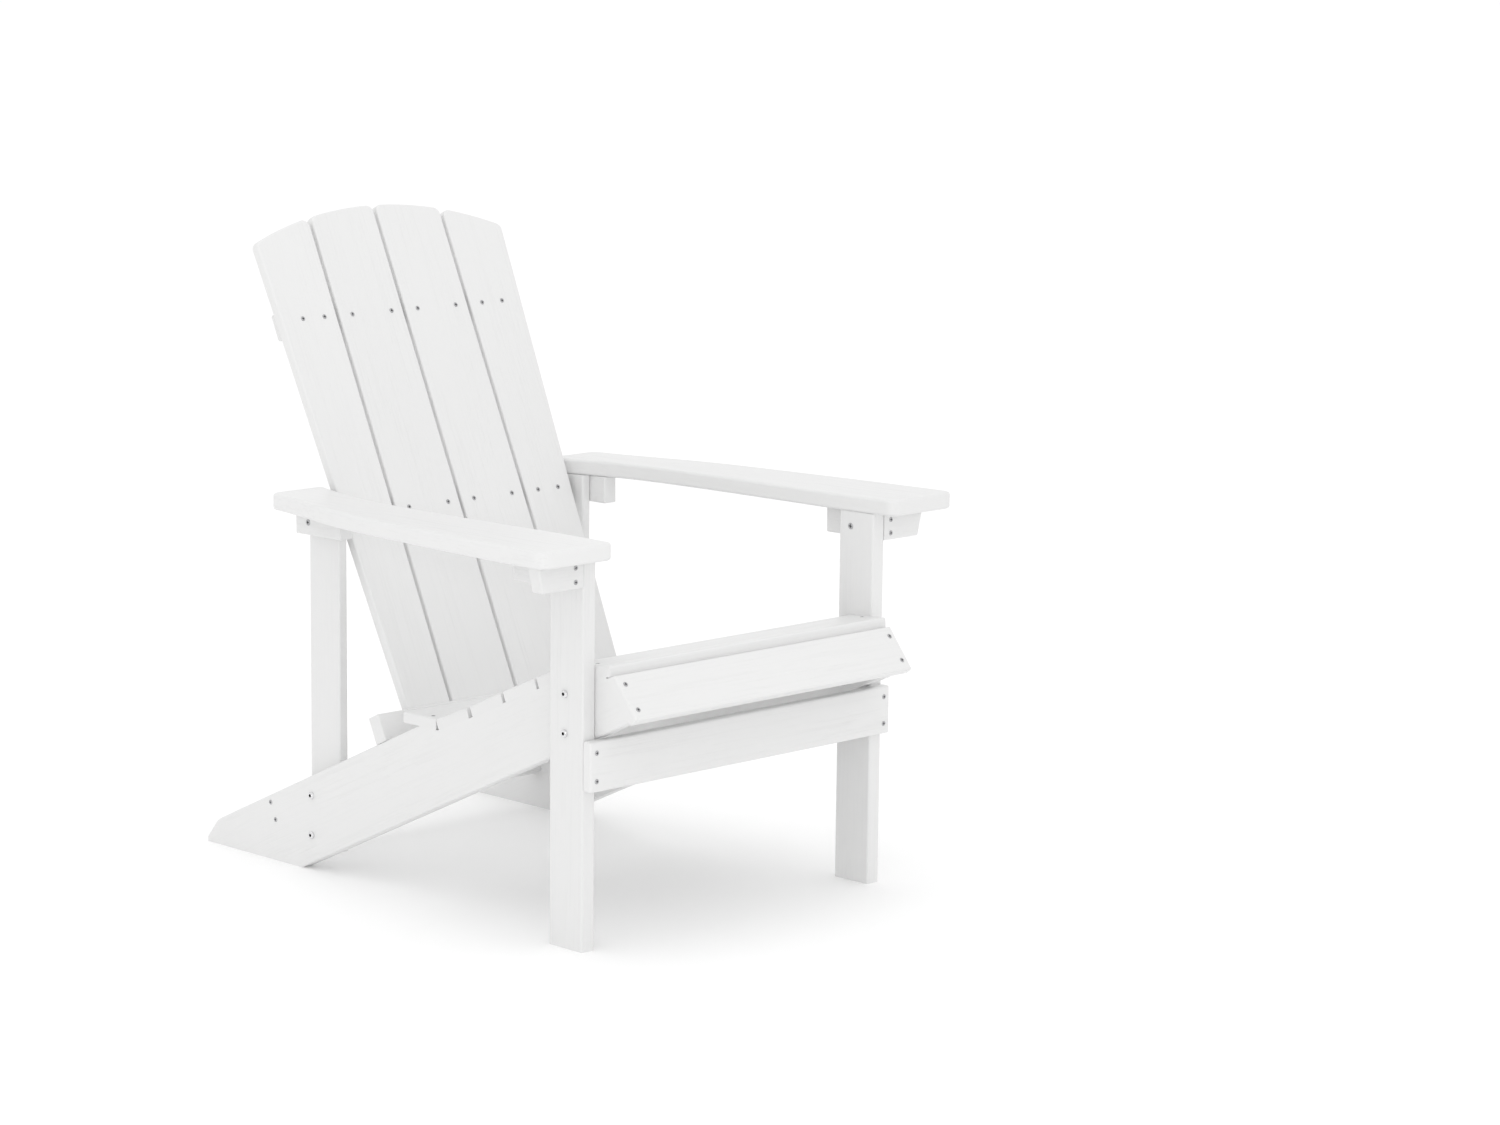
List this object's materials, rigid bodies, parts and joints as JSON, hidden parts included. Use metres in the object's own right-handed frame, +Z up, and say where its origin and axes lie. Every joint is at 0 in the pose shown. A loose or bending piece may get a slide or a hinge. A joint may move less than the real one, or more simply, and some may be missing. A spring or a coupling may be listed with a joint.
{
  "type": "adirondack chair",
  "caption": "Low outdoor lounge chair of screwed boards: slatted seat falling to the rear, leaning slat back with an arched head, and wide flat arms.",
  "frame": {"origin": "on the floor, under the centre of the chair's bounding box", "axes": "+Z up, -Y towards the front of the chair (the way the sitter faces), +X towards the sitter's left"},
  "size_m": [0.7604, 0.8792, 0.8927],
  "materials": {
    "white_board": "white moulded plastic board with a shallow embossed wood grain along its length",
    "screw_steel": "plain grey steel screw heads",
    "bolt_steel": "bright zinc-coated steel"
  },
  "bodies": {
    "root": {"apron_screws": "screw_steel", "arm_bracket_left": "white_board", "arm_bracket_right": "white_board", "arm_left": "white_board", "arm_right": "white_board", "arm_screws": "screw_steel", "back_foot_screws": "screw_steel", "back_screws_middle": "screw_steel", "back_screws_upper": "screw_steel", "back_slat_inner_left": "white_board", "back_slat_inner_right": "white_board", "back_slat_outer_left": "white_board", "back_slat_outer_right": "white_board", "bracket_screws": "screw_steel", "foot_rail_screws": "screw_steel", "front_arm_cleat_left": "white_board", "front_arm_cleat_right": "white_board", "front_cleat_screws": "screw_steel", "front_leg_left": "white_board", "front_leg_right": "white_board", "front_stretcher": "white_board", "leg_bolt_nuts": "bolt_steel", "leg_bolts": "bolt_steel", "lower_back_batten": "white_board", "lower_batten_screws": "screw_steel", "middle_back_rail": "white_board", "rear_arm_cleat_left": "white_board", "rear_arm_cleat_right": "white_board", "rear_cleat_screws": "screw_steel", "rear_foot_rail": "white_board", "rear_upright_left": "white_board", "rear_upright_right": "white_board", "seat_apron": "white_board", "seat_screws": "screw_steel", "seat_slat_1": "white_board", "seat_slat_2": "white_board", "seat_slat_3": "white_board", "seat_slat_4": "white_board", "seat_slat_5": "white_board", "seat_slat_6": "white_board", "side_rail_left": "white_board", "side_rail_right": "white_board", "stretcher_screws": "screw_steel", "upper_back_rail": "white_board", "upright_bolt_nuts": "bolt_steel", "upright_bolts": "bolt_steel"}
  },
  "joints": []
}
